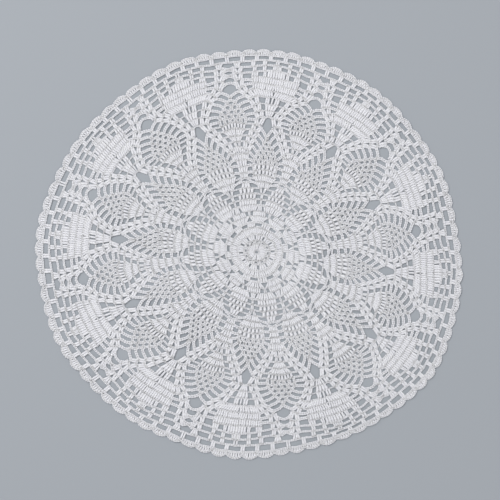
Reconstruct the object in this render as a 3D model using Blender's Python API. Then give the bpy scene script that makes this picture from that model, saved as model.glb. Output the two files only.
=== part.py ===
"""A round lace doily, crocheted in one thread from the centre outwards, lying flat.

It is one sheet of openwork. Twelve like repeats hold small, middle and outer pineapples with a fan
between two outer ones, then two rounds of open mesh, one of square mesh and a scalloped edge. The
25 largest gaps of each repeat go right through, and the finer ones close up into the sheet.

A place on the pattern is written as it would be on an even doily: `at` counts repeats round from
the first small pineapple and `reach` is the distance from the centre in millimetres. The function
`lie` gives where that place lies on this doily, which was pulled a little out of true.
"""
import math

import bmesh
import bpy
import numpy as np
from mathutils import Vector
from mathutils.geometry import delaunay_2d_cdt

MM = 0.001
REPEATS = 12
SCALLOPS_PER_REPEAT = 7
THICKNESS = 1.5 * MM

# Reach of five landmarks and of the edge on an even doily, in millimetres.
LADDER_REACH = 26.0
ARCH_REACH = 63.2
MIDDLE_EYE_REACH = 120.9
OUTER_EYE_REACH = 154.4
MESH_REACH = 178.1
EDGE_REACH = 193.5

# How each repeat lies: the bearing in degrees and the reach in millimetres of its landmarks.
# The ladder gap and the middle eye sit half a repeat on from the other three.
LAID_REPEATS = (
    # ladder        arch          middle eye      outer eye       mesh gap
    (23.7, 25.8,    5.5, 62.5,    22.4, 116.0,    7.5, 148.9,     8.7, 172.1),
    (53.6, 24.6,    37.3, 60.0,   53.5, 115.5,    38.0, 149.7,    38.5, 172.8),
    (86.8, 25.2,    69.4, 60.7,   85.2, 117.9,    68.6, 147.0,    68.6, 172.0),
    (116.0, 26.2,   99.4, 62.9,   115.7, 121.7,   99.5, 153.7,    98.9, 175.3),
    (143.5, 27.2,   129.9, 65.6,  146.7, 126.2,   130.9, 156.6,   129.9, 178.8),
    (172.2, 27.0,   158.5, 66.8,  174.6, 128.7,   160.8, 161.8,   160.6, 185.4),
    (201.1, 25.6,   186.0, 65.7,  202.3, 125.0,   188.5, 163.4,   189.2, 187.8),
    (231.4, 24.5,   215.0, 61.2,  232.8, 117.4,   217.1, 157.0,   217.9, 182.4),
    (263.1, 25.3,   249.0, 59.3,  264.8, 115.6,   247.8, 150.9,   248.0, 176.8),
    (296.5, 26.2,   281.9, 63.2,  295.9, 122.7,   279.3, 150.8,   279.2, 173.8),
    (324.9, 26.3,   310.5, 66.2,  324.4, 129.5,   310.4, 158.6,   311.1, 181.4),
    (353.0, 25.9,   337.0, 66.5,  351.8, 121.7,   338.1, 157.9,   338.7, 180.9),
)
LANDMARKS = (
    # reach, repeats on from the small pineapple
    (LADDER_REACH, 0.5),
    (ARCH_REACH, 0.0),
    (MIDDLE_EYE_REACH, 0.5),
    (OUTER_EYE_REACH, 0.0),
    (MESH_REACH, 0.0),
)

# The edge's long waves, which the stretching left: number round, height and bearing of a crest.
EDGE_WAVES = (
    (1, 6.2, 206.6),
    (2, 4.5, 170.1),
    (3, 2.7, 78.3),
    (4, 0.5, 66.5),
    (5, 1.25, 40.2),
    (6, 0.45, 27.6),
    (7, 0.6, 13.0),
)

# Each scallop rises from notches that lie a little inside the edge's mean reach.
NOTCH_REACH = 191.9
SCALLOP_RISE = 3.2
SCALLOP_ROUNDNESS = 0.6
SCALLOP_STEPS = (0.0, 0.16, 0.38, 0.62, 0.84)

# Outlines of a gap, as points across half its width and up its height.
MESH_GAP = ((0.7, 0.0), (1.0, 0.5), (0.7, 1.0))
EYE = ((0.0, 0.0), (1.0, 0.66), (0.72, 0.88), (0.3, 1.0))
HEART = ((0.0, 0.0), (0.75, 0.35), (1.0, 0.62), (0.8, 1.0))
DOME = ((0.75, 0.0), (1.0, 0.3), (0.62, 0.9))

# The gaps of one repeat. `lean` turns a gap, in degrees, so that the end away from the small
# pineapple's line reaches farther out. A gap beside that line has its mirror image across it.
GAPS = (
    # name,             outline,  at,    reach, wide, tall, lean, mirrored
    ("middle eye",      EYE,      0.5,   120.9, 9.2,  17.0, 0.0,  False),
    ("outer side 3",    MESH_GAP, 0.186, 138.3, 8.6,  3.1,  26.0, True),
    ("outer side 2",    MESH_GAP, 0.133, 142.8, 8.5,  3.3,  29.0, True),
    ("outer side 1",    MESH_GAP, 0.076, 147.8, 9.0,  4.0,  28.0, True),
    ("outer eye",       EYE,      0.0,   154.3, 14.0, 12.1, 0.0,  False),
    ("dome",            DOME,     0.0,   163.5, 7.6,  3.5,  0.0,  False),
    ("fan side",        MESH_GAP, 0.206, 166.3, 9.2,  5.4,  7.0,  True),
    ("first mesh 1",    MESH_GAP, 0.2,   172.8, 9.9,  3.8,  13.0, True),
    ("second mesh 0",   HEART,    0.0,   178.3, 12.0, 5.5,  0.0,  False),
    ("second mesh 1",   MESH_GAP, 0.177, 178.9, 11.3, 4.2,  5.0,  True),
    ("second mesh 2",   MESH_GAP, 0.314, 180.2, 9.0,  3.5,  7.0,  True),
    ("square mesh 1",   MESH_GAP, 0.076, 185.1, 10.2, 4.5,  0.0,  True),
    ("square mesh 2",   MESH_GAP, 0.223, 185.3, 9.7,  4.4,  0.0,  True),
    ("square mesh 3",   MESH_GAP, 0.364, 186.0, 8.4,  4.5,  1.0,  True),
    ("square mesh 4",   MESH_GAP, 0.5,   186.3, 9.5,  3.7,  0.0,  False),
)

# The flat triangulation keeps what lies inside the outlines, and joins points closer than WELD.
KEEP_INSIDE = 1
WELD = 1e-7

COTTON_COLOUR = (0.74, 0.745, 0.78, 1.0)
COTTON_ROUGHNESS = 0.9


def curve_through(before, start, end, after, step):
    """Smooth curve from start to end at step 0 to 1, with slopes taken from the neighbours."""
    slope_in = (end - before) / 2
    slope_out = (after - start) / 2
    square = step * step
    cube = square * step
    return ((2 * cube - 3 * square + 1) * start + (cube - 2 * square + step) * slope_in
            + (3 * square - 2 * cube) * end + (cube - square) * slope_out)


def round_the_doily(column, offset, at):
    """A landmark's value at a place round the doily, smooth from repeat to repeat."""
    first = math.floor(at - offset)
    rows = [column[(first + turn) % REPEATS] for turn in (-1, 0, 1, 2)]
    return curve_through(*rows, at - offset - first)


def edge_at(bearing):
    """Reach of the edge, without its scallops, at a bearing in degrees."""
    waves = (height * math.cos(math.radians(count * (bearing - crest)))
             for count, height, crest in EDGE_WAVES)
    return EDGE_REACH + sum(waves)


def turned(bearing, nominal):
    """How far a bearing is turned from its even place, between -180 and 180 degrees."""
    return (bearing - nominal + 180) % 360 - 180


def lie(at, reach):
    """Plane point in millimetres, from the centre, of a place on the pattern."""
    even_bearing = at * 360 / REPEATS
    reaches = [0.0]
    turns = []
    laid = [0.0]
    for number, (even_reach, offset) in enumerate(LANDMARKS):
        bearings = [turned(row[2 * number], (repeat + offset) * 360 / REPEATS)
                    for repeat, row in enumerate(LAID_REPEATS)]
        distances = [row[2 * number + 1] for row in LAID_REPEATS]
        reaches.append(even_reach)
        turns.append(round_the_doily(bearings, offset, at))
        laid.append(round_the_doily(distances, offset, at))
    turns = [turns[0]] + turns + [turns[-1]]
    reaches.append(EDGE_REACH)
    laid.append(edge_at(even_bearing + turns[-1]))
    inner = min(reach, EDGE_REACH)
    bearing = math.radians(even_bearing + along(reaches, turns, inner))
    distance = along(reaches, laid, inner) + reach - inner
    return Vector((distance * math.cos(bearing), distance * math.sin(bearing)))


def along(knots, values, place):
    """Smooth value at a place between uneven knots, with slopes taken from the neighbours."""
    left = max(0, int(np.searchsorted(knots, place)) - 1)
    span = knots[left + 1] - knots[left]
    slopes = np.diff(values) / np.diff(knots)
    slope_in = slopes[left] if left == 0 else (slopes[left - 1] + slopes[left]) / 2
    slope_out = slopes[left] if left == len(slopes) - 1 else (slopes[left] + slopes[left + 1]) / 2
    start = values[left]
    end = values[left + 1]
    before = end - 2 * slope_in * span
    after = start + 2 * slope_out * span
    return curve_through(before, start, end, after, (place - knots[left]) / span)


def edge_outline():
    """The scalloped edge: seven small arches in each repeat, meeting in sharp notches."""
    outline = []
    for scallop in range(REPEATS * SCALLOPS_PER_REPEAT):
        for step in SCALLOP_STEPS:
            rise = math.sin(math.pi * step) ** SCALLOP_ROUNDNESS if step else 0.0
            at = (scallop + step) / SCALLOPS_PER_REPEAT
            outline.append(lie(at, NOTCH_REACH + SCALLOP_RISE * rise))
    return outline


def gap_outline(half_outline, at, reach, wide, tall, lean):
    """One gap's outline, placed on the doily; a negative `at` mirrors its lean."""
    repeat_width = 2 * math.pi * reach / REPEATS
    left = [(-across * wide / 2, (up - 0.5) * tall) for across, up in half_outline]
    right = [(-across, up) for across, up in reversed(left) if across < 0]
    turn = math.radians(lean)
    outline = []
    for across, up in left + right:
        sideways = across * math.cos(turn) - up * math.sin(turn)
        outwards = across * math.sin(turn) + up * math.cos(turn)
        outline.append(lie(at + sideways / repeat_width, reach + outwards))
    return outline


def all_gaps():
    """The outlines of every gap of the twelve repeats."""
    outlines = []
    for repeat in range(REPEATS):
        for name, half_outline, at, reach, wide, tall, lean, mirrored in GAPS:
            outlines.append(gap_outline(half_outline, repeat + at, reach, wide, tall, lean))
            if mirrored:
                outlines.append(gap_outline(half_outline, repeat - at, reach, wide, tall, -lean))
    return outlines


def openwork_mesh(name, outlines, thickness):
    """A flat plate with the first outline as its rim and the others cut through it.

    A triangle that only the rim covers is kept, and one that a gap covers too is left out.
    """
    points = []
    rings = []
    for outline in outlines:
        rings.append(range(len(points), len(points) + len(outline)))
        points += outline
    result = delaunay_2d_cdt(points, [], rings, KEEP_INSIDE, WELD)
    flat_points = result[0]
    faces = [face for face, covers in zip(result[2], result[5]) if covers == [0]]
    mesh = bpy.data.meshes.new(name)
    form = bmesh.new()
    bottom = [form.verts.new((point.x, point.y, 0.0)) for point in flat_points]
    flat_faces = [form.faces.new([bottom[corner] for corner in face]) for face in faces]
    bmesh.ops.recalc_face_normals(form, faces=flat_faces)
    lifted = bmesh.ops.extrude_face_region(form, geom=flat_faces, use_keep_orig=True)
    top = [item for item in lifted["geom"] if isinstance(item, bmesh.types.BMVert)]
    bmesh.ops.translate(form, verts=top, vec=(0.0, 0.0, thickness))
    bmesh.ops.recalc_face_normals(form, faces=form.faces)
    form.to_mesh(mesh)
    form.free()
    return mesh


def cotton():
    """Bleached mercerised cotton, a cool white with little gloss."""
    material = bpy.data.materials.new("cotton")
    material.use_nodes = True
    shader = material.node_tree.nodes["Principled BSDF"]
    shader.inputs["Base Color"].default_value = COTTON_COLOUR
    shader.inputs["Roughness"].default_value = COTTON_ROUGHNESS
    shader.inputs["Metallic"].default_value = 0.0
    return material


def make_doily():
    """The doily as one solid, with the middle of its outline over the origin."""
    outlines = [edge_outline()] + all_gaps()
    rim = np.array(outlines[0])
    middle = Vector((rim.min(axis=0) + rim.max(axis=0)) / 2)
    outlines = [[(point - middle) * MM for point in outline] for outline in outlines]
    doily = bpy.data.objects.new("doily", openwork_mesh("doily", outlines, THICKNESS))
    doily.data.materials.append(cotton())
    bpy.context.scene.collection.objects.link(doily)


for leftover in list(bpy.data.objects):
    bpy.data.objects.remove(leftover)
make_doily()
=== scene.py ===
import math

import bmesh
import bpy
import numpy as np
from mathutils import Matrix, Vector, noise


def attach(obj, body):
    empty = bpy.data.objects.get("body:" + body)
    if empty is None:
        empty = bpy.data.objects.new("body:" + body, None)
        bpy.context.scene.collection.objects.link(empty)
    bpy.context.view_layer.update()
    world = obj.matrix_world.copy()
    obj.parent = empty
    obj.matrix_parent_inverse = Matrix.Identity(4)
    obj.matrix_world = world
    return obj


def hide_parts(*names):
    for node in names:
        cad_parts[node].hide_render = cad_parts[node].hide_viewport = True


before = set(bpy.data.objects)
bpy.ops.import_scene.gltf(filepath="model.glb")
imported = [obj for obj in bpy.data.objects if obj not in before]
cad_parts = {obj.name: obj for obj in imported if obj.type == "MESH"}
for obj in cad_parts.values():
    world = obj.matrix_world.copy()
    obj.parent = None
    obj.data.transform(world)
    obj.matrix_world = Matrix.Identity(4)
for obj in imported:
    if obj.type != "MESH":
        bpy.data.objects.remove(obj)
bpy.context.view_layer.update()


# Centre rounds and small pineapples
# The first rounds, worked in bleached mercerised cotton with a fine steel hook: solid ones, a
# ladder of openings, and on them twelve small pointed leaves of posts with a chain line arched
# over their tips. Each stitch is a twisted post or one link of a chain, set on a line of a chart.
MM = 0.001
REPEATS = 12
SCALLOPS_PER_REPEAT = 7

# The doily was washed and pulled a little out of true, so no two repeats lie quite alike. A place
# on the pattern is (at, reach): `at` counts repeats round from the first small pineapple, and
# `reach` is the distance from the centre in millimetres, both as on an even doily.
LADDER_REACH = 26.0
ARCH_REACH = 63.2
MIDDLE_EYE_REACH = 120.9
OUTER_EYE_REACH = 154.4
MESH_REACH = 178.1
EDGE_REACH = 193.5
NOTCH_REACH = 191.9
SCALLOP_RISE = 3.2
SCALLOP_ROUNDNESS = 0.6

LAID_REPEATS = np.array((
    # ladder        arch          middle eye      outer eye       mesh gap
    (23.7, 25.8,    5.5, 62.5,    22.4, 116.0,    7.5, 148.9,     8.7, 172.1),
    (53.6, 24.6,    37.3, 60.0,   53.5, 115.5,    38.0, 149.7,    38.5, 172.8),
    (86.8, 25.2,    69.4, 60.7,   85.2, 117.9,    68.6, 147.0,    68.6, 172.0),
    (116.0, 26.2,   99.4, 62.9,   115.7, 121.7,   99.5, 153.7,    98.9, 175.3),
    (143.5, 27.2,   129.9, 65.6,  146.7, 126.2,   130.9, 156.6,   129.9, 178.8),
    (172.2, 27.0,   158.5, 66.8,  174.6, 128.7,   160.8, 161.8,   160.6, 185.4),
    (201.1, 25.6,   186.0, 65.7,  202.3, 125.0,   188.5, 163.4,   189.2, 187.8),
    (231.4, 24.5,   215.0, 61.2,  232.8, 117.4,   217.1, 157.0,   217.9, 182.4),
    (263.1, 25.3,   249.0, 59.3,  264.8, 115.6,   247.8, 150.9,   248.0, 176.8),
    (296.5, 26.2,   281.9, 63.2,  295.9, 122.7,   279.3, 150.8,   279.2, 173.8),
    (324.9, 26.3,   310.5, 66.2,  324.4, 129.5,   310.4, 158.6,   311.1, 181.4),
    (353.0, 25.9,   337.0, 66.5,  351.8, 121.7,   338.1, 157.9,   338.7, 180.9),
))
LANDMARKS = (
    # reach, repeats on from the small pineapple
    (LADDER_REACH, 0.5),
    (ARCH_REACH, 0.0),
    (MIDDLE_EYE_REACH, 0.5),
    (OUTER_EYE_REACH, 0.0),
    (MESH_REACH, 0.0),
)
EDGE_WAVES = (
    # number round, height, bearing of a crest
    (1, 6.2, 206.6),
    (2, 4.5, 170.1),
    (3, 2.7, 78.3),
    (4, 0.5, 66.5),
    (5, 1.25, 40.2),
    (6, 0.45, 27.6),
    (7, 0.6, 13.0),
)


def curve(start, slope_in, end, slope_out, step):
    """Smooth curve from start to end as step goes from 0 to 1."""
    square = step * step
    cube = square * step
    return ((2 * cube - 3 * square + 1) * start + (cube - 2 * square + step) * slope_in
            + (3 * square - 2 * cube) * end + (cube - square) * slope_out)


def along(knots, values, places):
    """Smooth values at places between uneven knots; each column of values belongs to one place."""
    knots = np.asarray(knots, float)
    gaps = np.diff(knots)
    slopes = np.diff(values, axis=0) / gaps[:, None]
    tangents = np.concatenate([slopes[:1], (slopes[:-1] + slopes[1:]) / 2, slopes[-1:]])
    left = np.clip(np.searchsorted(knots, places) - 1, 0, len(gaps) - 1)
    column = np.arange(len(places))
    span = gaps[left]
    return curve(values[left, column], tangents[left, column] * span, values[left + 1, column],
                 tangents[left + 1, column] * span, (places - knots[left]) / span)


def round_the_doily(column, offset, at):
    """A landmark's value at places round the doily, smooth from repeat to repeat."""
    first = np.floor(at - offset).astype(int)
    before, start, end, after = (column[(first + turn) % REPEATS] for turn in (-1, 0, 1, 2))
    return curve(start, (end - before) / 2, end, (after - start) / 2, at - offset - first)


def lie(at, reach):
    """Plane points in millimetres, from the centre, of places on the pattern."""
    even_bearings = at * 360 / REPEATS
    reaches = [0.0]
    turns = []
    laid = [np.zeros_like(at)]
    for number, (even_reach, offset) in enumerate(LANDMARKS):
        nominal = (np.arange(REPEATS) + offset) * 360 / REPEATS
        turned = (LAID_REPEATS[:, 2 * number] - nominal + 180) % 360 - 180
        reaches.append(even_reach)
        turns.append(round_the_doily(turned, offset, at))
        laid.append(round_the_doily(LAID_REPEATS[:, 2 * number + 1], offset, at))
    turns = np.array([turns[0]] + turns + [turns[-1]])
    reaches.append(EDGE_REACH)
    edge_bearings = even_bearings + turns[-1]
    laid.append(EDGE_REACH + sum(height * np.cos(np.radians(count * (edge_bearings - crest)))
                                 for count, height, crest in EDGE_WAVES))
    inner = np.minimum(reach, EDGE_REACH)
    bearings = np.radians(even_bearings + along(reaches, turns, inner))
    distances = along(reaches, np.array(laid), inner) + reach - inner
    return np.column_stack([distances * np.cos(bearings), distances * np.sin(bearings)])


def scallop_arc(at):
    """Reach of the scalloped edge of an even doily."""
    step = np.abs(np.sin(math.pi * SCALLOPS_PER_REPEAT * np.asarray(at)))
    return NOTCH_REACH + SCALLOP_RISE * step ** SCALLOP_ROUNDNESS


RIM_STEPS_PER_SCALLOP = 10
RIM_STEPS = REPEATS * SCALLOPS_PER_REPEAT * RIM_STEPS_PER_SCALLOP
rim_at = np.arange(RIM_STEPS) * REPEATS / RIM_STEPS
rim = lie(rim_at, scallop_arc(rim_at))
doily_middle = (rim.min(axis=0) + rim.max(axis=0)) / 2

# A line of the chart holds its kind of stitch, the place of each end, its girth and its flare. A
# girth of 1 is a stitch of full width, and the flare is how much wider its top is than its foot.
LINK = 0
POST = 1
LINK_PITCH = 2.0
POST_WAIST = 1.92
POST_CROWDING = 1.08
SLIMMEST_POST = 0.45
SLIT_AT_TOP = 0.3

# One post and one link. Steps run from 0 to 1 along the stitch, which goes a little past both, and
# other sizes are in millimetres.
POST_LENGTH = 5.2
POST_HALF_WIDTH = 1.2
POST_HALF_HEIGHT = 0.42
POST_MIDDLE_HEIGHT = 0.6
POST_PROFILE = (
    # step along the post, width
    (-0.1, 0.98),
    (0.26, 0.8),
    (0.64, 0.91),
    (1.1, 1.03),
)
POST_TIP = 0.03
POST_LOBES = 3
POINTS_PER_LOBE = 3
GROOVE_DEPTH = 0.1
POST_TWIST = math.radians(200)

LINK_LEG_LENGTH = 1.5
LINK_LEG_START = -0.15
LINK_LEG_SPREAD = (0.36, 0.74)
LINK_LEG_OPENING = 0.7
LINK_LEG_THICKNESS = (0.8, 0.44)
LINK_MIDDLE_HEIGHT = 0.75
LINK_LEG_RINGS = ((0.25, 0.9), (0.7, 1.0))
LINK_LEG_SIDES = 4
LINK_TIP_SINK = 0.05
LINK_TIP_SPREAD = 0.85

# How far hand work and wear move a stitch aside and lift it, and over what length that changes.
# A layer is a place of its own in the noise.
SLOW_DRIFT = 0.55
SLOW_DRIFT_LENGTH = 13.0
QUICK_DRIFT = 0.22
QUICK_DRIFT_LENGTH = 3.5
QUICK_DRIFT_LAYER = 5.0
SWELL = 0.7
SWELL_MIDDLE = 0.5
SWELL_LENGTH = 45.0
SWELL_LAYER = 9.0
STITCH_ROLL = math.radians(14)
DRIFT_SEED = 5
TONE_SEED = 7
ROLL_SEED = 11

# COTTON_SHADE is the darker end of the cotton's colour. It gives the random tone of stitches and
# patches, and also the painted shade in the ply grooves.
COTTON_LIGHT = "#F5F5F9"
COTTON_SHADE = "#ECECF1"
COTTON_ROUGHNESS = 0.82
THREAD_GLOW = 0.8
THREAD_DEPTH_MM = 0.3
SHEEN = 0.15
SHEEN_ROUGHNESS = 0.5
PLY_PITCH_MM = 0.5
PLY_SLANT = math.radians(35)
PLY_UNEVENNESS = 0.6
PLY_BUMP = 0.3
PLY_DEPTH_MM = 0.12
FIBRE_MM = 0.25
FIBRE_BUMP = 0.25
FIBRE_DEPTH_MM = 0.05
WORN_PATCH_MM = 30
DARKEST_TONE = 0.5
LIGHTEST_TONE = 2.2


def posts(count, slit, base_from, base_to, base_reach, top_from, top_to, top_reach,
          base_droop=0.0, top_droop=0.0):
    """A row of posts side by side, with slits between their waists.

    A slit of no width crowds the posts together, and a droop pulls the row's two ends in towards
    the centre.
    """
    across = np.linspace(-1, 1, count) if count > 1 else np.zeros(1)
    base_at = (base_from + base_to + across * (base_to - base_from)) / 2
    top_at = (top_from + top_to + across * (top_to - top_from)) / 2
    girth = flare = 1.0
    if count > 1:
        base_pitch = (base_to - base_from) * 2 * math.pi * base_reach / REPEATS / (count - 1)
        top_pitch = (top_to - top_from) * 2 * math.pi * top_reach / REPEATS / (count - 1)
        crowding = 1.0 if slit else POST_CROWDING
        girth = max(SLIMMEST_POST, (base_pitch * crowding - slit) / POST_WAIST)
        flare = (top_pitch * crowding - slit * SLIT_AT_TOP) / POST_WAIST
        flare = max(SLIMMEST_POST, flare) / girth
    base_reaches = base_reach - base_droop * across ** 2
    top_reaches = top_reach - top_droop * across ** 2
    return [(POST, *ends, girth, flare)
            for ends in zip(base_at, base_reaches, top_at, top_reaches)]


def chain(*places, girth=1.0):
    """Chain links one after another on a smooth line through places on the pattern."""
    places = np.array(places, float)
    widths = 2 * math.pi * places[:, 1] / REPEATS
    steps = np.diff(places[:, 0]) * (widths[1:] + widths[:-1]) / 2
    marks = np.concatenate([[0.0], np.cumsum(np.hypot(steps, np.diff(places[:, 1])))])
    count = max(1, round(marks[-1] / LINK_PITCH))
    stops = np.linspace(0, marks[-1], count + 1)
    at, reach = (along(marks, np.repeat(column[:, None], count + 1, axis=1), stops)
                 for column in places.T)
    return [(LINK, at[i], reach[i], at[i + 1], reach[i + 1], girth, 1.0) for i in range(count)]


def ring(reach, girth):
    """A chain line all round the doily, as one repeat of it."""
    return chain((0.0, reach), (0.5, reach), (1.0, reach), girth=girth)


def moved(stitches, by):
    """The same stitches, moved round by a number of repeats."""
    return [(kind, at + by, reach, to_at + by, to_reach, *girths)
            for kind, at, reach, to_at, to_reach, *girths in stitches]


def both_sides(stitches):
    """The stitches and their mirror image across the small pineapple's line."""
    return stitches + [(kind, -at, reach, -to_at, to_reach, *girths)
                       for kind, at, reach, to_at, to_reach, *girths in stitches]


def add_node(tree, kind, inputs=None, **settings):
    """Add a node with its settings; an input takes a value, or the socket that feeds it."""
    node = tree.nodes.new(kind)
    for name, value in settings.items():
        setattr(node, name, value)
    for name, value in (inputs or {}).items():
        if isinstance(value, bpy.types.NodeSocket):
            tree.links.new(value, node.inputs[name])
        else:
            node.inputs[name].default_value = value
    return node


def linear(hex_colour):
    """An sRGB hex colour as linear red, green, blue and alpha."""
    parts = (int(hex_colour[place:place + 2], 16) / 255 for place in (1, 3, 5))
    return tuple(part / 12.92 if part <= 0.04045 else ((part + 0.055) / 1.055) ** 2.4
                 for part in parts) + (1.0,)


def mercerised_cotton():
    """Bleached mercerised crochet cotton, plied and tightly twisted.

    It gives the eye a cool, nearly matt white into which the light sinks a little, a slanting ply
    line on each strand, and stitches that differ slightly in tone. The ply line is a bump, and its
    grooves are also painted darker in the colour as painted shade. The ply is drawn coarser than
    it is, so that it shows.
    """
    material = bpy.data.materials.new("mercerised_cotton")
    material.use_nodes = True
    tree = material.node_tree
    shader = tree.nodes["Principled BSDF"]
    shader.inputs["Roughness"].default_value = COTTON_ROUGHNESS
    shader.inputs["Subsurface Weight"].default_value = THREAD_GLOW
    shader.inputs["Subsurface Radius"].default_value = (1.0, 1.0, 1.0)
    shader.inputs["Subsurface Scale"].default_value = THREAD_DEPTH_MM * MM
    shader.inputs["Sheen Weight"].default_value = SHEEN
    shader.inputs["Sheen Roughness"].default_value = SHEEN_ROUGHNESS
    strand = add_node(tree, "ShaderNodeUVMap", uv_map="UVMap")
    slanted = add_node(tree, "ShaderNodeMapping", {"Vector": strand.outputs["UV"],
                                                   "Rotation": (0.0, 0.0, PLY_SLANT)})
    ply = add_node(tree, "ShaderNodeTexWave", {"Vector": slanted.outputs["Vector"],
                                               "Scale": 1 / PLY_PITCH_MM / math.pi,
                                               "Distortion": PLY_UNEVENNESS, "Detail": 1.0})
    place = add_node(tree, "ShaderNodeTexCoord")
    fibres = add_node(tree, "ShaderNodeTexNoise", {"Vector": place.outputs["Object"],
                                                   "Scale": 1 / (FIBRE_MM * MM), "Detail": 2.0})
    stitch_tone = add_node(tree, "ShaderNodeAttribute", attribute_name="tone")
    worn = add_node(tree, "ShaderNodeTexNoise", {"Vector": place.outputs["Object"], "Detail": 1.0,
                                                 "Scale": 1 / (WORN_PATCH_MM * MM)})
    worn_tone = add_node(tree, "ShaderNodeMath", {0: stitch_tone.outputs["Fac"],
                                                  1: worn.outputs["Fac"]}, operation="ADD")
    # The ply wave is added into the colour as well as the bump, so the ply grooves come out darker:
    # painted shade in the grooves, on top of the random stitch tone and the patches of tone.
    tone_and_ply_shade = add_node(tree, "ShaderNodeMath", {0: worn_tone.outputs["Value"],
                                                 1: ply.outputs["Fac"]}, operation="ADD")
    tone = add_node(tree, "ShaderNodeMapRange", {"Value": tone_and_ply_shade.outputs["Value"],
                                                 "From Min": DARKEST_TONE,
                                                 "From Max": LIGHTEST_TONE})
    colour = add_node(tree, "ShaderNodeMix", data_type="RGBA")
    tree.links.new(tone.outputs["Result"], colour.inputs["Factor"])
    colour.inputs[6].default_value = linear(COTTON_SHADE)
    colour.inputs[7].default_value = linear(COTTON_LIGHT)
    tree.links.new(colour.outputs[2], shader.inputs["Base Color"])
    plied = add_node(tree, "ShaderNodeBump", {"Height": ply.outputs["Fac"],
                                              "Strength": PLY_BUMP,
                                              "Distance": PLY_DEPTH_MM * MM})
    fuzzy = add_node(tree, "ShaderNodeBump", {"Height": fibres.outputs["Fac"],
                                              "Strength": FIBRE_BUMP,
                                              "Distance": FIBRE_DEPTH_MM * MM,
                                              "Normal": plied.outputs["Normal"]})
    tree.links.new(fuzzy.outputs["Normal"], shader.inputs["Normal"])
    return material


def add_strand(form, start, rings, end, length, blunt=False):
    """Add a closed strand from a start point through rings to an end point.

    Its UV map runs in millimetres: along the strand for `length`, and around it. Blunt ends are
    shaded flat, so that the strand looks straight right up to the next row.
    """
    uv = form.loops.layers.uv.verify()
    sides = len(rings[0])
    around = sum((Vector(rings[0][j]) - Vector(rings[0][j - 1])).length for j in range(sides))
    rows = [[form.verts.new(point) for point in points] for points in rings]
    pole_in = form.verts.new(start)
    pole_out = form.verts.new(end)
    last = len(rows)

    def add_face(corners, smooth=True):
        face = form.faces.new([vertex for vertex, *_ in corners])
        face.smooth = smooth
        for loop, (_, step, turn) in zip(face.loops, corners):
            loop[uv].uv = (step * length / (last + 1), turn * around / sides)

    for j in range(sides):
        k = (j + 1) % sides
        add_face([(pole_in, 0, j + 0.5), (rows[0][k], 1, j + 1), (rows[0][j], 1, j)], not blunt)
        for i, (near, far) in enumerate(zip(rows, rows[1:]), start=1):
            add_face([(near[j], i, j), (near[k], i, j + 1), (far[k], i + 1, j + 1),
                      (far[j], i + 1, j)])
        add_face([(pole_out, last + 1, j + 0.5), (rows[-1][j], last, j),
                  (rows[-1][k], last, j + 1)], not blunt)


def stitch_shape(name, build):
    """A hidden object that holds one stitch, one unit long and set upright by its place."""
    form = bmesh.new()
    build(form)
    bmesh.ops.recalc_face_normals(form, faces=form.faces)
    mesh = bpy.data.meshes.new(name)
    form.to_mesh(mesh)
    form.free()
    steps = [vertex.co.x for vertex in mesh.vertices]
    mesh.attributes.new("step", "FLOAT", "POINT").data.foreach_set("value", steps)
    return bpy.data.objects.new(name, mesh)


def build_post(form):
    """A post: a rope of three lobes, as the hook leaves it, flattened by the wash."""
    sides = POST_LOBES * POINTS_PER_LOBE
    rings = []
    for step, width in POST_PROFILE:
        points = []
        for j in range(sides):
            angle = 2 * math.pi * j / sides + POST_TWIST * step
            reach = 1 - GROOVE_DEPTH if j % POINTS_PER_LOBE == 0 else 1.0
            points.append((step, reach * width * POST_HALF_WIDTH * math.cos(angle) * MM,
                           (POST_MIDDLE_HEIGHT + reach * POST_HALF_HEIGHT * math.sin(angle)) * MM))
        rings.append(points)
    middle = POST_MIDDLE_HEIGHT * MM
    add_strand(form, (POST_PROFILE[0][0] - POST_TIP, 0, middle), rings,
               (POST_PROFILE[-1][0] + POST_TIP, 0, middle), POST_LENGTH, blunt=True)


def build_link(form):
    """A link: two plump legs that open in a V, the next link rising between them."""
    near, far = LINK_LEG_SPREAD
    wide, tall = LINK_LEG_THICKNESS
    tip_height = (LINK_MIDDLE_HEIGHT - LINK_TIP_SINK) * MM
    for side in (-1, 1):
        rings = []
        for step, swell in LINK_LEG_RINGS:
            middle = side * (near + (far - near) * step ** LINK_LEG_OPENING)
            points = []
            for j in range(LINK_LEG_SIDES):
                angle = 2 * math.pi * (j + 0.5) / LINK_LEG_SIDES
                points.append((LINK_LEG_START + LINK_LEG_LENGTH * step,
                               (middle + swell * wide * math.cos(angle)) * MM,
                               (LINK_MIDDLE_HEIGHT + swell * tall * math.sin(angle)) * MM))
            rings.append(points)
        start = (LINK_LEG_START, side * near * MM, tip_height)
        end = (LINK_LEG_START + LINK_LEG_LENGTH, side * far * LINK_TIP_SPREAD * MM, tip_height)
        add_strand(form, start, rings, end, LINK_PITCH * LINK_LEG_LENGTH)


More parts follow.
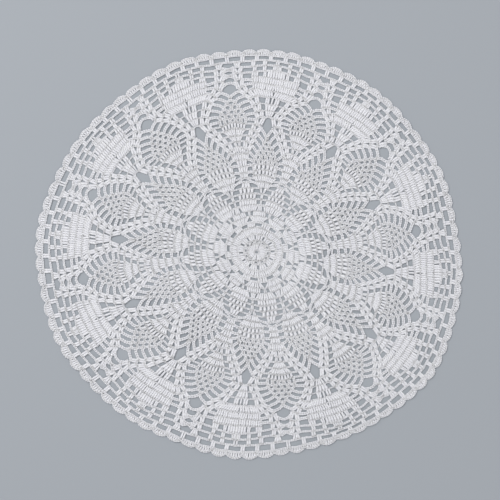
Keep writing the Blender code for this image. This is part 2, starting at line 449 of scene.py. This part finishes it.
def stitching_tree():
    """Geometry Nodes that set a post or a link on each edge of a chart, scaled to its length.

    A thin link also lies lower, so that it sinks in between the posts. A stitch's flare then
    pushes its points out from its own line, more and more towards its top.
    """
    tree = bpy.data.node_groups.new("stitching", "GeometryNodeTree")
    tree.interface.new_socket("Geometry", in_out="INPUT", socket_type="NodeSocketGeometry")
    tree.interface.new_socket("Link", in_out="INPUT", socket_type="NodeSocketObject")
    tree.interface.new_socket("Post", in_out="INPUT", socket_type="NodeSocketObject")
    tree.interface.new_socket("Roll", in_out="INPUT", socket_type="NodeSocketFloat")
    tree.interface.new_socket("Thread", in_out="INPUT", socket_type="NodeSocketMaterial")
    tree.interface.new_socket("Geometry", in_out="OUTPUT", socket_type="NodeSocketGeometry")
    given = add_node(tree, "NodeGroupInput")
    ends = add_node(tree, "GeometryNodeInputMeshEdgeVertices")
    reach = add_node(tree, "ShaderNodeVectorMath", {0: ends.outputs["Position 2"],
                                                    1: ends.outputs["Position 1"]},
                     operation="SUBTRACT")
    kept = add_node(tree, "GeometryNodeCaptureAttribute", domain="EDGE")
    kept.capture_items.new("VECTOR", "Start")
    kept.capture_items.new("VECTOR", "Reach")
    tree.links.new(given.outputs["Geometry"], kept.inputs["Geometry"])
    tree.links.new(ends.outputs["Position 1"], kept.inputs["Start"])
    tree.links.new(reach.outputs["Vector"], kept.inputs["Reach"])
    points = add_node(tree, "GeometryNodeMeshToPoints", {"Mesh": kept.outputs["Geometry"],
                                                         "Position": kept.outputs["Start"]},
                      mode="EDGES")
    kind = add_node(tree, "GeometryNodeInputNamedAttribute", {"Name": "kind"}, data_type="INT")
    girth = add_node(tree, "GeometryNodeInputNamedAttribute", {"Name": "girth"},
                     data_type="FLOAT")
    length = add_node(tree, "ShaderNodeVectorMath", {0: kept.outputs["Reach"]},
                      operation="LENGTH")
    post_size = add_node(tree, "ShaderNodeCombineXYZ", {"X": length.outputs["Value"],
                                                        "Y": girth.outputs["Attribute"],
                                                        "Z": 1.0})
    height = add_node(tree, "ShaderNodeMath", {0: girth.outputs["Attribute"], 1: 1.0},
                      operation="MINIMUM")
    link_size = add_node(tree, "ShaderNodeCombineXYZ", {"X": length.outputs["Value"],
                                                        "Y": girth.outputs["Attribute"],
                                                        "Z": height.outputs["Value"]})
    heading = add_node(tree, "FunctionNodeAlignRotationToVector",
                       {"Vector": kept.outputs["Reach"]}, axis="X", pivot_axis="Z")
    least = add_node(tree, "ShaderNodeMath", {0: given.outputs["Roll"], 1: -1.0},
                     operation="MULTIPLY")
    roll = add_node(tree, "FunctionNodeRandomValue", {"Seed": ROLL_SEED}, data_type="FLOAT")
    tree.links.new(least.outputs["Value"], roll.inputs[2])
    tree.links.new(given.outputs["Roll"], roll.inputs[3])
    rolled = add_node(tree, "ShaderNodeCombineXYZ", {"X": roll.outputs[1]})
    turned = add_node(tree, "FunctionNodeRotateRotation",
                      {"Rotation": heading.outputs["Rotation"],
                       "Rotate By": rolled.outputs["Vector"]}, rotation_space="LOCAL")
    joined = add_node(tree, "GeometryNodeJoinGeometry")
    for number, name, size in ((LINK, "Link", link_size), (POST, "Post", post_size)):
        chosen = add_node(tree, "FunctionNodeCompare", data_type="INT", operation="EQUAL")
        tree.links.new(kind.outputs["Attribute"], chosen.inputs[2])
        chosen.inputs[3].default_value = number
        shape = add_node(tree, "GeometryNodeObjectInfo", {"Object": given.outputs[name],
                                                          "As Instance": True})
        placed = add_node(tree, "GeometryNodeInstanceOnPoints",
                          {"Points": points.outputs["Points"],
                           "Selection": chosen.outputs["Result"],
                           "Instance": shape.outputs["Geometry"],
                           "Rotation": turned.outputs["Rotation"],
                           "Scale": size.outputs["Vector"]})
        tree.links.new(placed.outputs["Instances"], joined.inputs["Geometry"])
    real = add_node(tree, "GeometryNodeRealizeInstances",
                    {"Geometry": joined.outputs["Geometry"]})
    step = add_node(tree, "GeometryNodeInputNamedAttribute", {"Name": "step"}, data_type="FLOAT")
    flare = add_node(tree, "GeometryNodeInputNamedAttribute", {"Name": "flare"},
                     data_type="FLOAT")
    here = add_node(tree, "GeometryNodeInputPosition")
    axis = add_node(tree, "ShaderNodeVectorMath", {0: kept.outputs["Reach"],
                                                   1: step.outputs["Attribute"],
                                                   2: kept.outputs["Start"]},
                    operation="MULTIPLY_ADD")
    aside = add_node(tree, "ShaderNodeVectorMath", {0: here.outputs["Position"],
                                                    1: axis.outputs["Vector"]},
                     operation="SUBTRACT")
    extra = add_node(tree, "ShaderNodeMath", {0: flare.outputs["Attribute"], 1: 1.0},
                     operation="SUBTRACT")
    wider = add_node(tree, "ShaderNodeMath", {0: extra.outputs["Value"],
                                              1: step.outputs["Attribute"]},
                     operation="MULTIPLY")
    flat = add_node(tree, "ShaderNodeCombineXYZ", {"X": wider.outputs["Value"],
                                                   "Y": wider.outputs["Value"]})
    push = add_node(tree, "ShaderNodeVectorMath", {0: aside.outputs["Vector"],
                                                   1: flat.outputs["Vector"]},
                    operation="MULTIPLY")
    flared = add_node(tree, "GeometryNodeSetPosition", {"Geometry": real.outputs["Geometry"],
                                                        "Offset": push.outputs["Vector"]})
    thread = add_node(tree, "GeometryNodeSetMaterial", {"Geometry": flared.outputs["Geometry"],
                                                        "Material": given.outputs["Thread"]})
    add_node(tree, "NodeGroupOutput", {"Geometry": thread.outputs["Geometry"]})
    return tree


def laid(at, reach):
    """Points in metres where places lie, with the small unevenness of hand work."""
    flat = lie(at, reach)
    placed = []
    for x, y in flat:
        slow = noise.noise_vector((x / SLOW_DRIFT_LENGTH, y / SLOW_DRIFT_LENGTH, 0.0))
        quick = noise.noise_vector((x / QUICK_DRIFT_LENGTH, y / QUICK_DRIFT_LENGTH,
                                    QUICK_DRIFT_LAYER))
        swell = noise.noise((x / SWELL_LENGTH, y / SWELL_LENGTH, SWELL_LAYER)) + SWELL_MIDDLE
        placed.append((x + SLOW_DRIFT * slow.x + QUICK_DRIFT * quick.x - doily_middle[0],
                       y + SLOW_DRIFT * slow.y + QUICK_DRIFT * quick.y - doily_middle[1],
                       SWELL * min(max(swell, 0.0), 1.0)))
    return np.array(placed) * MM


def crochet(name, stitches):
    """Work the stitches of one repeat twelve times round, as one piece of the doily.
    """
    chart = np.array(stitches, float)
    starts = np.concatenate([chart[:, 1] + repeat for repeat in range(REPEATS)])
    ends = np.concatenate([chart[:, 3] + repeat for repeat in range(REPEATS)])
    points = np.concatenate([laid(starts, np.tile(chart[:, 2], REPEATS)),
                             laid(ends, np.tile(chart[:, 4], REPEATS))])
    count = len(starts)
    mesh = bpy.data.meshes.new(name)
    mesh.from_pydata(points.tolist(), [(i, i + count) for i in range(count)], [])
    tones = np.random.default_rng(TONE_SEED).random(count)
    for attribute, kind, values in (("kind", "INT", np.tile(chart[:, 0], REPEATS).astype(int)),
                                    ("girth", "FLOAT", np.tile(chart[:, 5], REPEATS)),
                                    ("flare", "FLOAT", np.tile(chart[:, 6], REPEATS)),
                                    ("tone", "FLOAT", tones)):
        mesh.attributes.new(attribute, kind, "EDGE").data.foreach_set("value", values)
    worked = bpy.data.objects.new(name + "_chart", mesh)
    bpy.context.scene.collection.objects.link(worked)
    stitching = worked.modifiers.new("stitching", "NODES")
    stitching.node_group = stitching_nodes
    inputs = {item.name: item.identifier for item in stitching_nodes.interface.items_tree
              if item.in_out == "INPUT"}
    stitching[inputs["Link"]] = link_shape
    stitching[inputs["Post"]] = post_shape
    stitching[inputs["Roll"]] = STITCH_ROLL
    stitching[inputs["Thread"]] = cotton
    graph = bpy.context.evaluated_depsgraph_get()
    finished = bpy.data.meshes.new_from_object(worked.evaluated_get(graph), depsgraph=graph)
    worked.modifiers.remove(stitching)
    bpy.data.objects.remove(worked)
    piece = bpy.data.objects.new(name, finished)
    finished.name = name
    bpy.context.scene.collection.objects.link(piece)
    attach(piece, "root")
    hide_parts("doily")


noise.seed_set(DRIFT_SEED)
cotton = mercerised_cotton()
post_shape = stitch_shape("post_stitch", build_post)
link_shape = stitch_shape("link_stitch", build_link)
stitching_nodes = stitching_tree()

CENTRE_RINGS = (
    # reach, girth
    (1.9, 0.55),
    (8.7, 0.8),
    (11.7, 0.9),
    (17.7, 1.15),
    (23.8, 0.95),
    (28.4, 1.0),
)
CENTRE_ROWS = (
    # posts, slit, base from, to, reach, top from, to, reach
    (2, 0.0, 0.25, 0.75, 2.2, 0.25, 0.75, 8.4),
    (2, 0.0, -0.16, 0.16, 9.2, -0.15, 0.15, 11.1),
    (3, 0.0, 0.06, 0.58, 11.8, 0.05, 0.61, 17.4),
    (6, 0.0, 0.083, 0.917, 18.2, 0.083, 0.917, 23.3),
    (4, 0.0, -0.2, 0.23, 24.1, -0.2, 0.23, 28.0),
    (8, 0.0, 0.336, 0.844, 28.8, 0.13, 0.99, 34.2),
    (7, 0.0, 0.233, 0.811, 34.6, 0.277, 0.77, 38.9),
    (2, 0.0, 0.0, 0.05, 34.6, -0.005, 0.06, 38.9),
)
centre = []
for reach, girth in CENTRE_RINGS:
    centre += ring(reach, girth)
for row in CENTRE_ROWS:
    centre += posts(*row)

# The small leaves, each row shorter than the last, with a thin stem of posts between two of them.
SMALL_BRIDGE = ((0.27, 44.9), (0.49, 44.9))
SMALL_RINGS = (
    # reach, girth
    (50.5, 0.85),
    (55.7, 0.8),
)
SMALL_TOP_LINE = ((0.0, 60.8), (0.25, 60.7), (0.44, 60.6))
SMALL_TOP_GIRTH = 0.7
SMALL_ROWS = (
    # posts, slit, base from, to, reach, top from, to, reach
    (8, 0.0, -0.265, 0.27, 39.3, -0.35, 0.35, 45.0),
    (7, 0.0, -0.295, 0.295, 45.3, -0.28, 0.28, 50.1),
    (5, 0.85, -0.24, 0.24, 51.1, -0.245, 0.245, 55.4),
    (4, 0.9, -0.175, 0.175, 56.4, -0.175, 0.175, 60.6),
    (3, 0.0, -0.09, 0.09, 61.5, -0.06, 0.06, 65.8),
    (3, 0.0, 0.445, 0.605, 39.3, 0.465, 0.545, 45.4),
    (2, 0.0, 0.48, 0.52, 45.4, 0.48, 0.52, 50.1),
    (2, 0.0, 0.475, 0.525, 51.1, 0.475, 0.525, 55.4),
    (2, 0.0, 0.45, 0.48, 56.4, 0.4, 0.445, 61.0),
    (2, 0.0, 0.52, 0.55, 56.4, 0.555, 0.6, 61.0),
)
ARCH_LINE = ((0.0, 66.6), (0.1, 66.6), (0.2, 66.2), (0.3, 64.9), (0.37, 63.3), (0.45, 61.5))
small = both_sides(chain(*ARCH_LINE) + chain(*SMALL_BRIDGE)
                   + chain(*SMALL_TOP_LINE, girth=SMALL_TOP_GIRTH))
for reach, girth in SMALL_RINGS:
    small += ring(reach, girth)
for row in SMALL_ROWS:
    small += posts(*row)
crochet("centre_rounds", centre + small)


# Middle pineapples
# Twelve large leaves that start between the small ones: two solid rows, two rows of posts with
# slits, then a net of chain loops, one loop fewer in each row, up to a tip below a pointed eye.
# Chains tie each leaf's side to the strips beside it.
LOOP_GIRTH = 1.2
LOOP_SHOULDER = 0.72
LOOP_LEG_INSET = 0.4
LOOP_SHOULDER_INSET = 1.4
LEAF_LINE_GIRTH = 0.85
LEAF_LINE_PLACES = 5
TIE_GIRTH = 1.3
MIDDLE_ROWS = (
    # posts, slit, base half, reach, top half, reach, base droop, top droop
    (7, 0.0, 0.13, 61.9, 0.19, 66.9, 0.6, 0.3),
    (11, 0.0, 0.2, 67.6, 0.275, 73.3, 0.4, 0.8),
    (6, 0.8, 0.205, 73.9, 0.22, 78.7, 0.8, 2.4),
    (6, 1.3, 0.225, 79.3, 0.235, 84.1, 2.4, 2.0),
    (3, 0.0, 0.02, 106.4, 0.03, 111.8, 0.0, 0.0),
)
MIDDLE_LINES = (
    # half, reach, droop
    (0.2, 67.3, 0.4),
    (0.26, 73.6, 0.8),
    (0.28, 79.0, 2.4),
    (0.28, 84.4, 2.0),
)
MIDDLE_LOOPS = (
    # loops, half, reach, tall, droop of the feet
    (5, 0.255, 84.6, 4.3, 1.6),
    (4, 0.204, 88.9, 4.2, 0.0),
    (3, 0.153, 93.1, 4.2, 0.0),
    (2, 0.102, 97.3, 4.2, 0.0),
    (1, 0.051, 101.5, 4.2, 0.0),
)
MIDDLE_EDGE_POSTS = (
    # at, reach, at, reach
    (0.248, 72.6, 0.238, 76.0),
    (0.238, 77.0, 0.228, 81.9),
)
MIDDLE_TIES = (
    ((0.255, 75.4), (0.18, 76.0), (0.1, 75.7)),
    ((0.25, 82.0), (0.18, 82.7), (0.1, 82.4)),
    ((0.245, 85.6), (0.21, 87.0), (0.14, 88.3)),
    ((0.296, 88.9), (0.27, 89.9), (0.195, 94.5)),
    ((0.347, 93.1), (0.33, 94.4), (0.25, 100.9)),
    ((0.398, 97.4), (0.39, 99.5), (0.305, 106.5)),
    ((0.449, 101.6), (0.445, 105.1), (0.36, 112.1)),
    ((0.5, 105.7), (0.485, 110.5), (0.42, 117.2), (0.41, 118.0)),
)


def line(half, reach, droop=0.0):
    """The chain line along the tops of a row, across the line of its leaf."""
    steps = np.linspace(-1, 1, LEAF_LINE_PLACES)
    return chain(*((step * half, reach - droop * step * step) for step in steps),
                 girth=LEAF_LINE_GIRTH)


def loops(count, half, reach, tall, droop=0.0):
    """Chain loops side by side, each an arch from one foot to the next."""
    feet = np.linspace(-half, half, count + 1)
    inset = LOOP_LEG_INSET * REPEATS / (2 * math.pi * reach)
    shoulder_inset = LOOP_SHOULDER_INSET * inset
    net = []
    for left, right in zip(feet, feet[1:]):
        low_left, low_right = (reach - droop * (foot / half) ** 2 for foot in (left, right))
        shoulder = reach + LOOP_SHOULDER * tall
        net += chain((left + inset, low_left), (left + shoulder_inset, shoulder),
                     ((left + right) / 2, reach + tall), (right - shoulder_inset, shoulder),
                     (right - inset, low_right), girth=LOOP_GIRTH)
    return net


def leaf_row(count, slit, base_half, base_reach, top_half, top_reach, base_droop, top_droop):
    """A row of posts set evenly across the line of its leaf."""
    return posts(count, slit, -base_half, base_half, base_reach, -top_half, top_half, top_reach,
                 base_droop, top_droop)


middle = []
for row in MIDDLE_ROWS:
    middle += leaf_row(*row)
for row in MIDDLE_LINES:
    middle += line(*row)
for row in MIDDLE_LOOPS:
    middle += loops(*row)
middle = moved(middle, 0.5)
for tie in MIDDLE_TIES:
    middle += both_sides(chain(*tie, girth=TIE_GIRTH))
middle += both_sides([(POST, *places, 1.0, 1.0) for places in MIDDLE_EDGE_POSTS])
crochet("middle_pineapples", middle)


# Shell strips
# Strips of shells, two posts, a small space and two posts, each worked into the space of the one
# below and closed by a line that bulges outwards. One strip stands on chain lines over each small
# pineapple and parts in two, and the two run up between the leaves to the mesh.
SHELL_BULGE = 1.2
SHELL_TUCK = 0.3
SHELL_GIRTH = 1.25
SHELL_FLARE = 1.06
SHELL_POSTS = (
    # place of the foot and of the top along the row's line
    (0.12, 0.03),
    (0.43, 0.18),
    (0.57, 0.82),
    (0.88, 0.97),
)
STEM_ROWS = (
    # posts, slit, base from, to, reach, top from, to, reach
    (5, 0.0, -0.07, 0.07, 70.7, -0.09, 0.09, 75.1),
    (4, 0.0, -0.065, 0.065, 75.8, -0.085, 0.085, 81.5),
    (4, 0.0, -0.065, 0.065, 82.1, -0.085, 0.085, 87.7),
    (9, 0.0, -0.13, 0.13, 88.3, -0.165, 0.165, 93.6),
    (2, 0.8, -0.02, 0.02, 94.6, -0.03, 0.03, 99.6),
)
STEM_LINES = (
    # half, reach, droop
    (0.105, 75.4, 0.3),
    (0.105, 81.8, 0.3),
    (0.13, 88.0, 0.2),
    (0.17, 94.0, 0.0),
)
STEM_FOOT_GIRTH = 0.8
STEM_FOOT_LINES = (
    ((0.0, 70.5), (0.06, 69.7), (0.1, 68.8), (0.15, 67.5), (0.2, 66.8)),
    ((0.08, 70.9), (0.16, 70.0), (0.22, 69.7), (0.28, 69.5)),
)
STRIP_START = (0.1, 94.0)
STRIP_ROWS = (
    # corner towards the small pineapple's line, corner away from it
    ((0.077, 99.2), (0.195, 94.9)),
    ((0.128, 105.2), (0.25, 100.9)),
    ((0.192, 111.0), (0.305, 106.5)),
    ((0.248, 116.5), (0.36, 112.1)),
    ((0.295, 121.5), (0.424, 118.0)),
    ((0.325, 126.5), (0.456, 128.5)),
    ((0.3, 132.0), (0.407, 134.8)),
    ((0.27, 138.0), (0.354, 141.3)),
    ((0.225, 143.2), (0.31, 148.3)),
    ((0.165, 147.6), (0.224, 153.1)),
    ((0.1, 152.0), (0.166, 157.6)),
    ((0.058, 161.5), (0.15, 163.3)),
    ((0.046, 169.0), (0.143, 169.4)),
    ((0.043, 175.0), (0.138, 175.5)),
)


def shell(below, inner, outer):
    """One shell: two posts, a space and two posts from the line below to the next line.

    It gives the stitches, and the middle of the line, where the next shell is worked.
    """
    below, inner, outer = (np.array(place) for place in (below, inner, outer))
    repeat_width = 2 * math.pi * below[1] / REPEATS
    scale = np.array([repeat_width, 1.0])
    across = (outer - inner) * scale
    across /= np.linalg.norm(across)
    up = np.array([-across[1], across[0]])
    middle = (inner + outer) / 2
    if np.dot((middle - below) * scale, up) < 0:
        up = -up
    middle = middle + up * SHELL_BULGE / scale
    stitches = chain(inner, middle, outer)
    for foot, tip in SHELL_POSTS:
        base = below + (outer - inner) * (foot - 0.5)
        rise = 1 - (2 * tip - 1) ** 2
        top = inner + (outer - inner) * tip + up * (SHELL_BULGE * rise - SHELL_TUCK) / scale
        stitches.append((POST, *base, *top, SHELL_GIRTH, SHELL_FLARE))
    return stitches, middle


strips = []
for places in STEM_FOOT_LINES:
    strips += both_sides(chain(*places, girth=STEM_FOOT_GIRTH))
for row in STEM_ROWS:
    strips += posts(*row)
for row in STEM_LINES:
    strips += line(*row)
below = STRIP_START
for inner, outer in STRIP_ROWS:
    stitches, below = shell(below, inner, outer)
    strips += both_sides(stitches)
crochet("shell_strips", strips)


# Outer pineapples
# Twelve large leaves over the small ones, in the fork of the strips: pairs of posts, two solid
# rows, a row of posts with slits, then the net of chain loops up to a tip below a round eye.
# Above the eye, arched and dipping chain lines join the two strips.
OUTER_ROWS = (
    # posts, slit, base half, reach, top half, reach, base droop, top droop
    (6, 0.0, 0.055, 105.9, 0.1, 111.2, 0.0, 0.3),
    (9, 0.0, 0.09, 111.8, 0.155, 118.1, 0.3, 1.9),
    (8, 0.9, 0.155, 118.6, 0.165, 124.0, 1.9, 2.3),
    (2, 0.0, 0.009, 144.2, 0.009, 147.8, 0.0, 0.0),
)
OUTER_FOOT_ROW = (2, 0.0, 0.018, 0.04, 100.8, 0.03, 0.055, 105.2)
OUTER_LINES = (
    ((-0.077, 99.2), (0.0, 100.4), (0.077, 99.2)),
    ((-0.138, 105.2), (-0.06, 105.5), (0.0, 105.6), (0.06, 105.5), (0.138, 105.2)),
    ((-0.197, 110.7), (-0.1, 111.3), (0.0, 111.5), (0.1, 111.3), (0.197, 110.7)),
    ((-0.25, 117.0), (-0.155, 116.6), (0.0, 118.4), (0.155, 116.6), (0.25, 117.0)),
    ((-0.3, 121.7), (-0.175, 121.6), (0.0, 124.3), (0.175, 121.6), (0.3, 121.7)),
)
BRIDGE_LINES = (
    # girth, places
    (1.15, ((-0.075, 157.6), (-0.04, 159.9), (0.0, 160.9), (0.04, 159.9), (0.075, 157.6))),
    (1.15, ((-0.06, 164.9), (-0.03, 166.4), (0.0, 167.0), (0.03, 166.4), (0.06, 164.9))),
    (1.0, ((-0.06, 170.2), (0.0, 167.6), (0.06, 170.2))),
    (1.15, ((-0.06, 171.2), (-0.03, 172.8), (0.0, 173.4), (0.03, 172.8), (0.06, 171.2))),
    (1.0, ((-0.055, 176.5), (0.0, 174.2), (0.055, 176.5))),
)
OUTER_LOOPS = (
    # loops, half, reach, tall, droop of the feet
    (5, 0.1875, 124.4, 4.0, 2.2),
    (4, 0.172, 128.3, 4.0, 0.0),
    (3, 0.13, 132.2, 4.0, 0.0),
    (2, 0.09, 136.2, 4.0, 0.0),
    (1, 0.048, 140.2, 4.0, 0.0),
)
OUTER_TIES = (
    ((0.18, 125.5), (0.25, 125.9), (0.315, 126.1)),
    ((0.172, 128.3), (0.18, 129.3), (0.30, 132.0)),
    ((0.13, 132.5), (0.15, 134.4), (0.27, 138.1)),
    ((0.09, 136.5), (0.11, 139.0), (0.225, 143.2)),
    ((0.048, 140.5), (0.06, 143.2), (0.165, 147.6)),
    ((0.0, 145.5), (0.01, 147.7), (0.1, 152.0)),
)
outer = both_sides(posts(*OUTER_FOOT_ROW))
for row in OUTER_ROWS:
    outer += leaf_row(*row)
for row in OUTER_LOOPS:
    outer += loops(*row)
for places in OUTER_LINES:
    outer += chain(*places, girth=LEAF_LINE_GIRTH)
for girth, places in BRIDGE_LINES:
    outer += chain(*places, girth=girth)
for tie in OUTER_TIES:
    outer += both_sides(chain(*tie, girth=TIE_GIRTH))
crochet("outer_pineapples", outer)


# Fans
# Twelve fans of posts that open outwards between the outer pineapples, over each pointed eye:
# three narrow rows, two wide ones in two halves with a short slit between them, a whole one and
# one in groups. Chains tie the fan to the strip on each side.
FAN_LINE_GIRTH = 0.6
FAN_ROWS = (
    # posts, slit, base from, to, reach, top from, to, reach
    (4, 0.0, -0.03, 0.03, 129.9, -0.045, 0.045, 134.8),
    (4, 0.0, -0.045, 0.045, 135.8, -0.06, 0.06, 141.0),
    (2, 0.0, -0.07, -0.04, 142.2, -0.07, -0.044, 147.8),
    (1, 0.0, 0.0, 0.0, 142.2, 0.0, 0.0, 147.8),
    (2, 0.0, 0.04, 0.07, 142.2, 0.044, 0.07, 147.8),
    (8, 0.0, -0.19, -0.01, 148.8, -0.235, -0.026, 154.0),
    (8, 0.0, 0.01, 0.19, 148.8, 0.026, 0.235, 154.0),
    (10, 0.0, -0.23, -0.018, 154.7, -0.235, -0.006, 160.2),
    (10, 0.0, 0.018, 0.23, 154.7, 0.006, 0.235, 160.2),
    (21, 0.0, -0.245, 0.245, 160.9, -0.25, 0.25, 166.4),
    (3, 0.0, -0.25, -0.2, 167.0, -0.245, -0.205, 171.6),
    (2, 0.0, -0.134, -0.113, 167.0, -0.128, -0.113, 172.4),
    (7, 0.0, -0.082, 0.082, 167.0, -0.08, 0.08, 173.2),
    (2, 0.0, 0.113, 0.134, 167.0, 0.113, 0.128, 172.4),
    (3, 0.0, 0.2, 0.25, 167.0, 0.205, 0.245, 171.6),
)
FAN_LINES = (
    ((-0.055, 126.6), (-0.03, 128.6), (0.0, 129.4), (0.03, 128.6), (0.055, 126.6)),
    ((-0.101, 134.9), (0.0, 135.6), (0.101, 134.9)),
    ((-0.146, 141.5), (0.0, 141.8), (0.146, 141.5)),
    ((-0.203, 147.7), (-0.1, 147.7), (0.0, 148.5), (0.1, 147.7), (0.203, 147.7)),
    ((-0.235, 154.3), (0.0, 154.3), (0.235, 154.3)),
    ((-0.25, 160.5), (0.0, 160.5), (0.25, 160.5)),
    ((-0.25, 166.8), (0.0, 166.8), (0.25, 166.8)),
)
FAN_TIES = (
    ((0.224, 153.1), (0.245, 153.7), (0.265, 154.3)),
    ((0.166, 157.6), (0.2, 158.3), (0.26, 158.8)),
    ((0.142, 163.0), (0.2, 162.8), (0.26, 163.0)),
)
fans_chart = []
for row in FAN_ROWS:
    fans_chart += posts(*row)
for places in FAN_LINES:
    fans_chart += chain(*places, girth=FAN_LINE_GIRTH)
fans_chart = moved(fans_chart, 0.5)
for tie in FAN_TIES:
    fans_chart += both_sides(chain(*tie, girth=TIE_GIRTH))
crochet("fans", fans_chart)


# Mesh rounds
# Two rounds of open mesh all round, between the strips and the fans and then over both: long
# chains held by pairs of posts, and a heart-shaped opening over each outer pineapple.
MESH_LINE_GIRTH = 0.92
MESH_LINES = (
    ((0.13, 169.3), (0.15, 169.6), (0.25, 171.0), (0.3, 171.8), (0.36, 172.5), (0.42, 173.3),
     (0.5, 174.0)),
    ((0.127, 175.5), (0.2, 175.9), (0.3, 177.4), (0.42, 178.6), (0.5, 179.2)),
    ((0.0, 181.5), (0.2, 181.9), (0.3, 182.9), (0.42, 183.6), (0.5, 183.9)),
)
MESH_ROWS = (
    # posts, slit, base from, to, reach, top from, to, reach
    (2, 0.0, 0.259, 0.279, 171.5, 0.259, 0.279, 176.6),
    (2, 0.0, 0.361, 0.381, 173.0, 0.361, 0.381, 178.0),
    (3, 0.0, 0.462, 0.497, 174.2, 0.466, 0.497, 178.9),
    (3, 0.0, 0.075, 0.103, 175.8, 0.063, 0.117, 181.2),
    (2, 0.0, 0.243, 0.265, 177.0, 0.243, 0.265, 182.2),
    (2, 0.0, 0.361, 0.383, 178.3, 0.361, 0.383, 183.0),
    (1, 0.0, 0.488, 0.488, 179.5, 0.488, 0.488, 183.6),
)
mesh_chart = []
for places in MESH_LINES:
    mesh_chart += both_sides(chain(*places, girth=MESH_LINE_GIRTH))
for row in MESH_ROWS:
    mesh_chart += both_sides(posts(*row))
crochet("mesh_rounds", mesh_chart)


# Scalloped edge
# The last two rounds: a square mesh with seven openings in each repeat, and on it eighty-four
# small solid shells of seven posts, side by side, with a chain line over each that gives the
# doily its scalloped outline.
SQUARE_MESH_ROWS = (
    # posts, slit, base from, to, reach, top from, to, reach
    (1, 0.0, 0.0103, 0.0103, 181.8, 0.0103, 0.0103, 188.0),
    (2, 0.0, 0.137, 0.158, 182.0, 0.137, 0.158, 188.1),
    (2, 0.0, 0.281, 0.302, 183.0, 0.281, 0.302, 188.4),
    (2, 0.0, 0.416, 0.437, 183.8, 0.416, 0.437, 188.8),
)
SQUARE_MESH_LINE = ((0.0, 187.9), (0.2, 188.2), (0.4, 188.9), (0.5, 189.0))
SCALLOP_BASE_HALF = 0.062
SCALLOP_TOP_HALF = 0.066
SCALLOP_BASE_REACH = 189.3
SCALLOP_POSTS = 7
SCALLOP_GIRTH = 1.02
SCALLOP_FLARE = 1.12
SCALLOP_LINE_INSET = 1.2
SCALLOP_LINE_PLACES = 9
HEART_PULL = 1.6
scallop_pitch = 1 / SCALLOPS_PER_REPEAT


def scallop_line(at):
    """Reach of the line over a scallop, pulled in a little near each heart-shaped opening."""
    pull = HEART_PULL * (1 + np.cos(2 * math.pi * np.asarray(at))) / 2
    return scallop_arc(at) - SCALLOP_LINE_INSET - pull


edge_chart = both_sides(chain(*SQUARE_MESH_LINE))
for row in SQUARE_MESH_ROWS:
    edge_chart += both_sides(posts(*row))
for scallop in range(SCALLOPS_PER_REPEAT):
    crown = (scallop + 0.5) * scallop_pitch
    for step in np.linspace(-1, 1, SCALLOP_POSTS):
        top = crown + step * SCALLOP_TOP_HALF
        edge_chart.append((POST, crown + step * SCALLOP_BASE_HALF, SCALLOP_BASE_REACH, top,
                           float(scallop_line(top)), SCALLOP_GIRTH, SCALLOP_FLARE))
    arc = crown + np.linspace(-0.5, 0.5, SCALLOP_LINE_PLACES) * scallop_pitch
    edge_chart += chain(*zip(arc, scallop_line(arc)))
crochet("scallop_edge", edge_chart)


# Setting
# A floor of plain pale card in a soft, even room, with a large lamp over its far left, a weaker one
# over its near right, and a camera that looks straight down. Sizes are in metres here.
FLOOR_HEX = "#A9AEB4"
FLOOR_ROUGHNESS = 0.9
FLOOR_SIZE = 6.0
ROOM_HEX = "#F2F3F5"
ROOM_LIGHT = 0.5
VIEW_WIDTH = 0.465
CAMERA_DISTANCE = 1.6
VIEW_CENTRE = (0.0014, 0.0037)
SENSOR_MM = 36.0
LAMPS = (
    # name, place, size, watts
    ("key", (-0.8, 0.8, 1.7), 1.3, 22.0),
    ("fill", (1.0, -0.7, 1.8), 1.8, 7.5),
)

floor_mesh = bpy.data.meshes.new("floor")
half = FLOOR_SIZE / 2
floor_mesh.from_pydata([(-half, -half, 0), (half, -half, 0), (half, half, 0), (-half, half, 0)],
                       [], [(0, 1, 2, 3)])
floor = bpy.data.objects.new("floor", floor_mesh)
bpy.context.scene.collection.objects.link(floor)
card = bpy.data.materials.new("matt_card")
card.use_nodes = True
card_shader = card.node_tree.nodes["Principled BSDF"]
card_shader.inputs["Base Color"].default_value = linear(FLOOR_HEX)
card_shader.inputs["Roughness"].default_value = FLOOR_ROUGHNESS
floor_mesh.materials.append(card)

for name, place, size, watts in LAMPS:
    lamp = bpy.data.lights.new(name, "AREA")
    lamp.shape = "DISK"
    lamp.size = size
    lamp.energy = watts
    light = bpy.data.objects.new(name, lamp)
    light.location = place
    light.rotation_euler = (-Vector(place)).to_track_quat("-Z", "Y").to_euler()
    bpy.context.scene.collection.objects.link(light)

bpy.context.scene.view_settings.view_transform = "Standard"
room = bpy.data.worlds.new("soft_room")
room.use_nodes = True
room_light = room.node_tree.nodes["Background"]
room_light.inputs["Color"].default_value = linear(ROOM_HEX)
room_light.inputs["Strength"].default_value = ROOM_LIGHT
bpy.context.scene.world = room

camera_data = bpy.data.cameras.new("camera")
camera_data.sensor_width = SENSOR_MM
camera_data.lens = SENSOR_MM * CAMERA_DISTANCE / VIEW_WIDTH
camera = bpy.data.objects.new("camera", camera_data)
camera.location = (*VIEW_CENTRE, CAMERA_DISTANCE)
bpy.context.scene.collection.objects.link(camera)
bpy.context.scene.camera = camera
